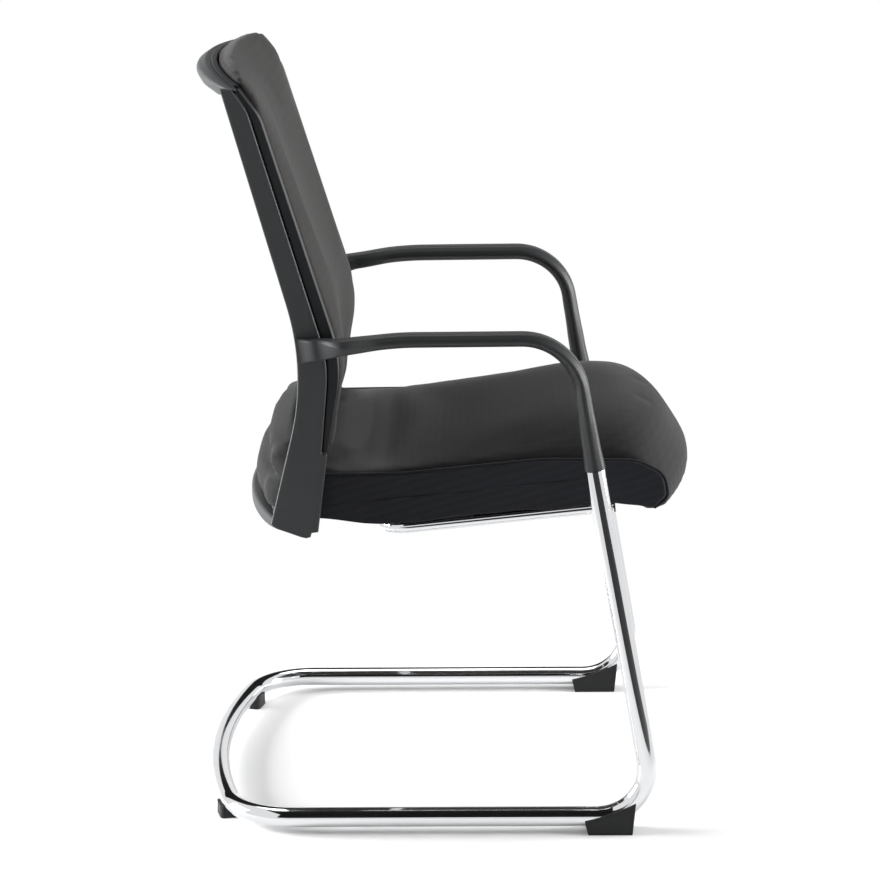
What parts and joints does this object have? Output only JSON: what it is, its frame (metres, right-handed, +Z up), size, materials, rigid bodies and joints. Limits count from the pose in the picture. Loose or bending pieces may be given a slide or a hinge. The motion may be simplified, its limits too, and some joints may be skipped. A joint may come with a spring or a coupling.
{
  "type": "visitor chair",
  "caption": "Cantilever visitor chair with a chromed tubular sled frame, moulded armrests and back frame, and an upholstered seat and back.",
  "frame": {"origin": "on the floor, under the middle of the chair's bounding box", "axes": "+X towards the front of the chair, +Y towards the sitter's left, +Z up"},
  "size_m": [0.6205, 0.566, 0.9526],
  "materials": {
    "chromed_steel": "bright chrome plating, polished",
    "frame_plastic": "fine-grained satin black moulding",
    "arm_plastic": "fine-grained satin black moulding",
    "black_plastic": "matte black moulding",
    "seat_fabric": "fine woven black upholstery cloth",
    "side_fabric": "fine woven black upholstery cloth",
    "back_fabric": "open-weave charcoal upholstery cloth",
    "plywood": "sealed beech plywood",
    "zinc_steel": "zinc-plated"
  },
  "bodies": {
    "root": {"side_tube_left": "chromed_steel", "side_tube_right": "chromed_steel", "rear_tube": "chromed_steel", "seat_rail": "chromed_steel", "back_frame": "frame_plastic", "back_carrier": "frame_plastic", "armrest_left": "arm_plastic", "armrest_right": "arm_plastic", "rail_plugs": "black_plastic", "rail_saddles": "black_plastic", "front_glide_left": "black_plastic", "front_glide_right": "black_plastic", "rear_glide_left": "black_plastic", "rear_glide_right": "black_plastic", "back_panel": "black_plastic", "seat_cushion": "seat_fabric", "seat_side_panel_left": "side_fabric", "seat_side_panel_right": "side_fabric", "seat_welt": "side_fabric", "back_pad": "back_fabric", "seat_pan": "plywood", "seat_bolts": "zinc_steel", "seat_bolt_washers": "zinc_steel", "seat_tee_nuts": "zinc_steel", "back_bolts": "zinc_steel", "back_bolt_washers": "zinc_steel", "back_tee_nuts": "zinc_steel", "glide_screws": "zinc_steel", "arm_lock_screws": "zinc_steel", "arm_back_screws": "zinc_steel", "carrier_screws": "zinc_steel", "panel_screws": "zinc_steel"}
  },
  "joints": []
}
